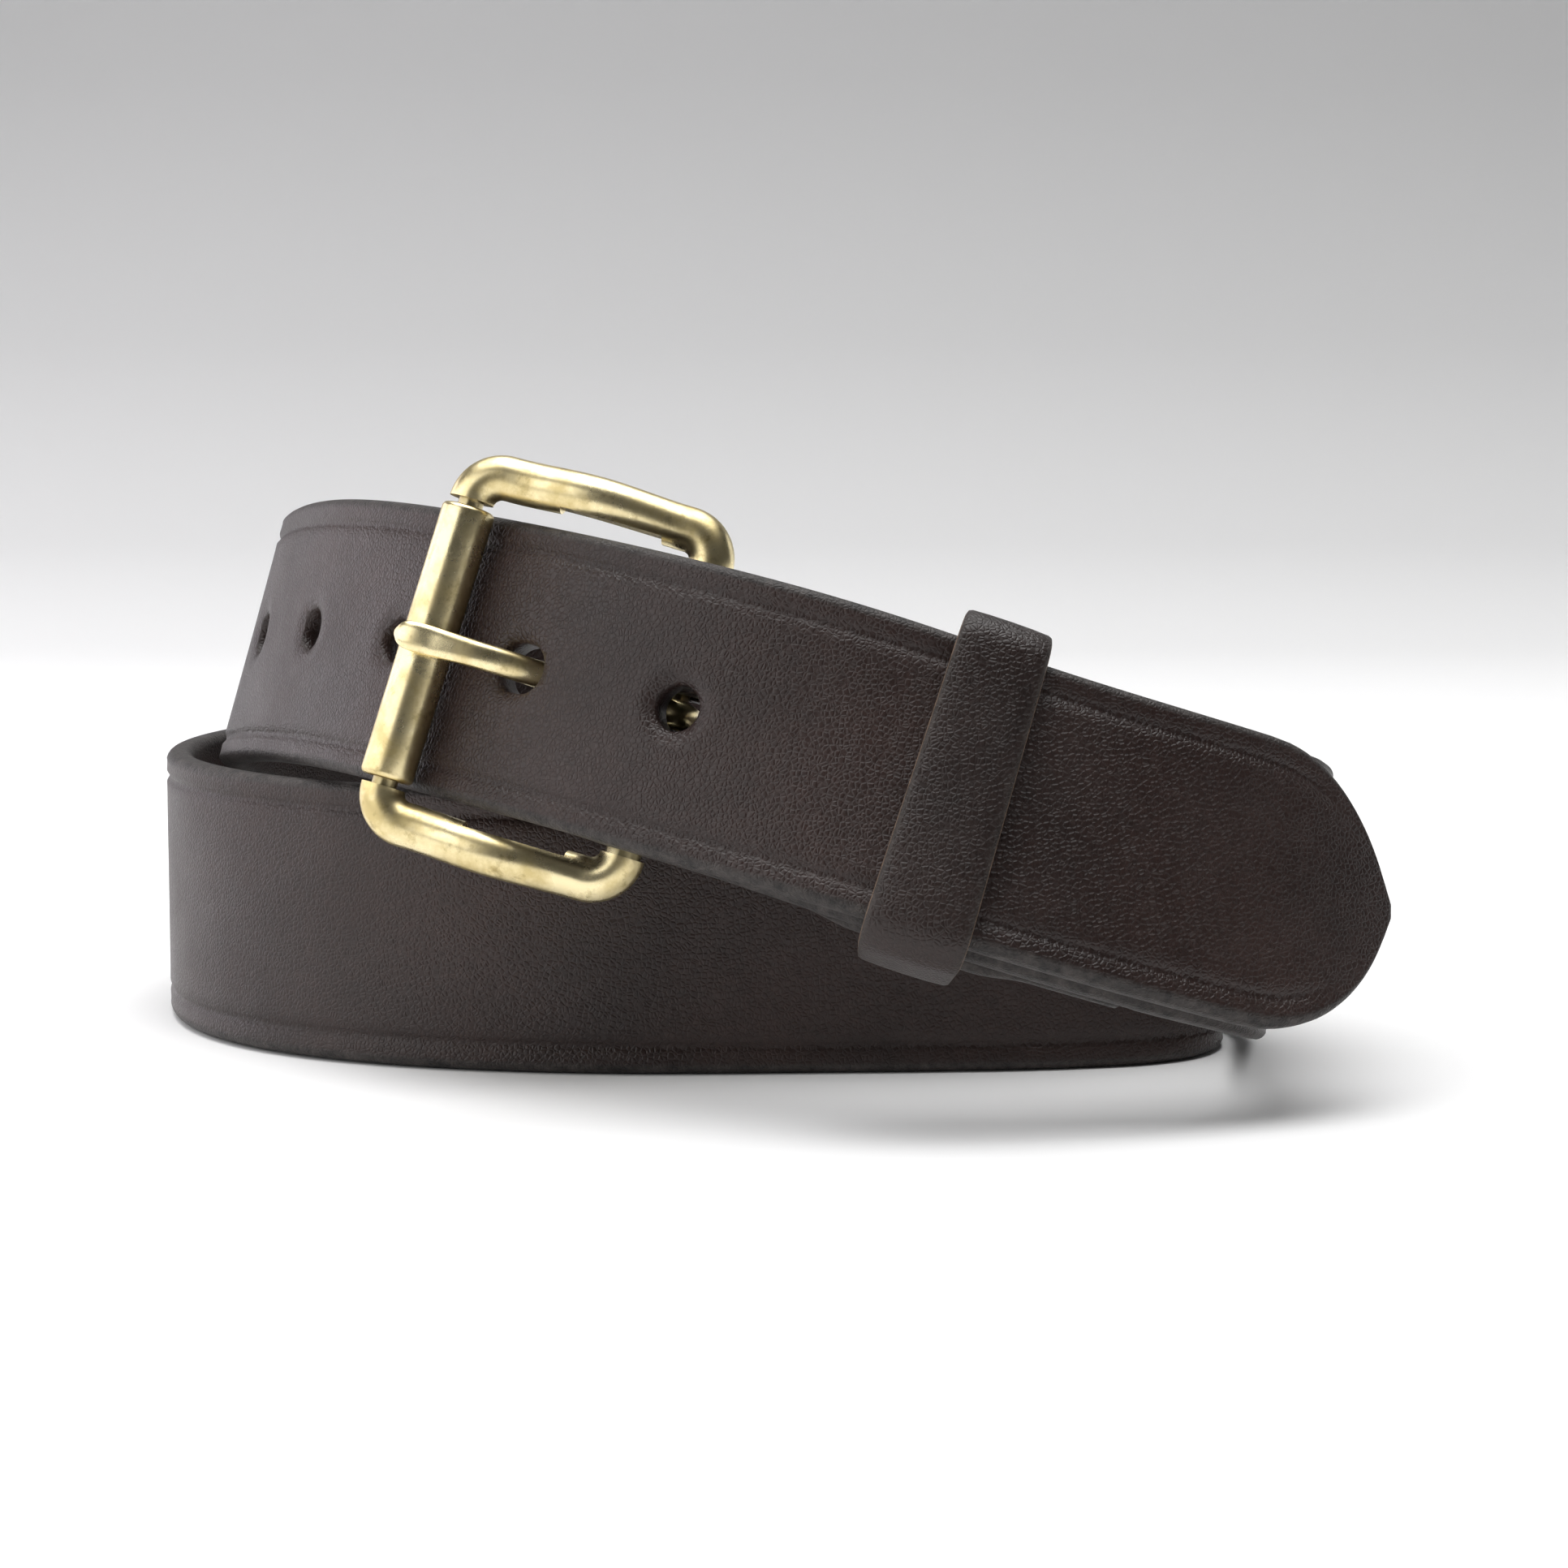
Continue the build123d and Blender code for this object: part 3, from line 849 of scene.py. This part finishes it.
for name, mat in (
    ("buckle_frame", brass), ("screw_posts", screw_brass), ("screws", screw_brass),
    ("keeper_staple", steel),
):
    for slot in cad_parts[name].material_slots:
        slot.material = mat


# ---- floor, lights and camera

floor_wide = 3000
bend_start = 700
bend_radius = 600
bend_angles = (0.3, 0.6, 0.9, 1.2, 1.5)
centre = (0, -10, 40)
top_spread = 90
world_strength = 0.06
camera_at = (7.1, -541.5, 95.05)
camera_pitch = 6.42
sensor_wide = 36.0
focal_length = 85.7142857


def floor():
    """Pale sheet that curves up behind the belt."""
    mat, tree, shader = material("studio_floor")
    shader.inputs["Base Color"].default_value = (0.93, 0.93, 0.93, 1)
    shader.inputs["Roughness"].default_value = 0.75
    shader.inputs["Specular IOR Level"].default_value = 0.2
    rows = [(y, 0.0) for y in (-floor_wide, -1000, 0, bend_start)]
    for t in bend_angles:
        rows.append((bend_start + bend_radius * sin(t), bend_radius - bend_radius * cos(t)))
    rows.append((bend_start + bend_radius, floor_wide))
    verts = [Vector((x, y, z)) for y, z in rows for x in (-floor_wide, floor_wide)]
    faces = [(2 * i, 2 * i + 1, 2 * i + 3, 2 * i + 2) for i in range(len(rows) - 1)]
    obj = mesh_object("studio_floor", verts, faces, mat)
    return obj


def area(name, at_mm, aim_mm, size, power, colour=(1, 1, 1)):
    """Soft box at a point, turned to face another; its size is in metres."""
    lamp = bpy.data.lights.new(name, "AREA")
    lamp.shape = "RECTANGLE"
    lamp.size, lamp.size_y = size
    lamp.energy = power
    lamp.color = colour
    obj = bpy.data.objects.new(name, lamp)
    obj.location = Vector(at_mm) * MM
    obj.rotation_euler = (Vector(aim_mm) - Vector(at_mm)).to_track_quat("-Z", "Y").to_euler()
    bpy.context.scene.collection.objects.link(obj)
    return obj


floor()
area("left_box", (-800, -420, 430), centre, (1.1, 0.7), 4.5)
area("left_back_box", (-900, 450, 200), centre, (0.9, 0.7), 3.5, (0.97, 0.93, 1.0))
top_box = area("top_box", (0, 100, 1300), centre, (1.8, 1.6), 11)
top_box.data.spread = radians(top_spread)
area("right_back_box", (900, 500, 250), centre, (0.6, 0.6), 0.8)

world = bpy.data.worlds.new("studio")
world.use_nodes = True
backdrop = world.node_tree.nodes["Background"]
backdrop.inputs["Color"].default_value = (1, 1, 1, 1)
backdrop.inputs["Strength"].default_value = world_strength
bpy.context.scene.world = world
bpy.context.scene.view_settings.view_transform = "Standard"

camera = bpy.data.cameras.new("camera")
camera.sensor_width = sensor_wide
camera.lens = focal_length
camera.clip_end = 20
eye = bpy.data.objects.new("camera", camera)
eye.location = Vector(camera_at) * MM
eye.rotation_euler = (radians(90 - camera_pitch), 0, 0)
bpy.context.scene.collection.objects.link(eye)
bpy.context.scene.camera = eye
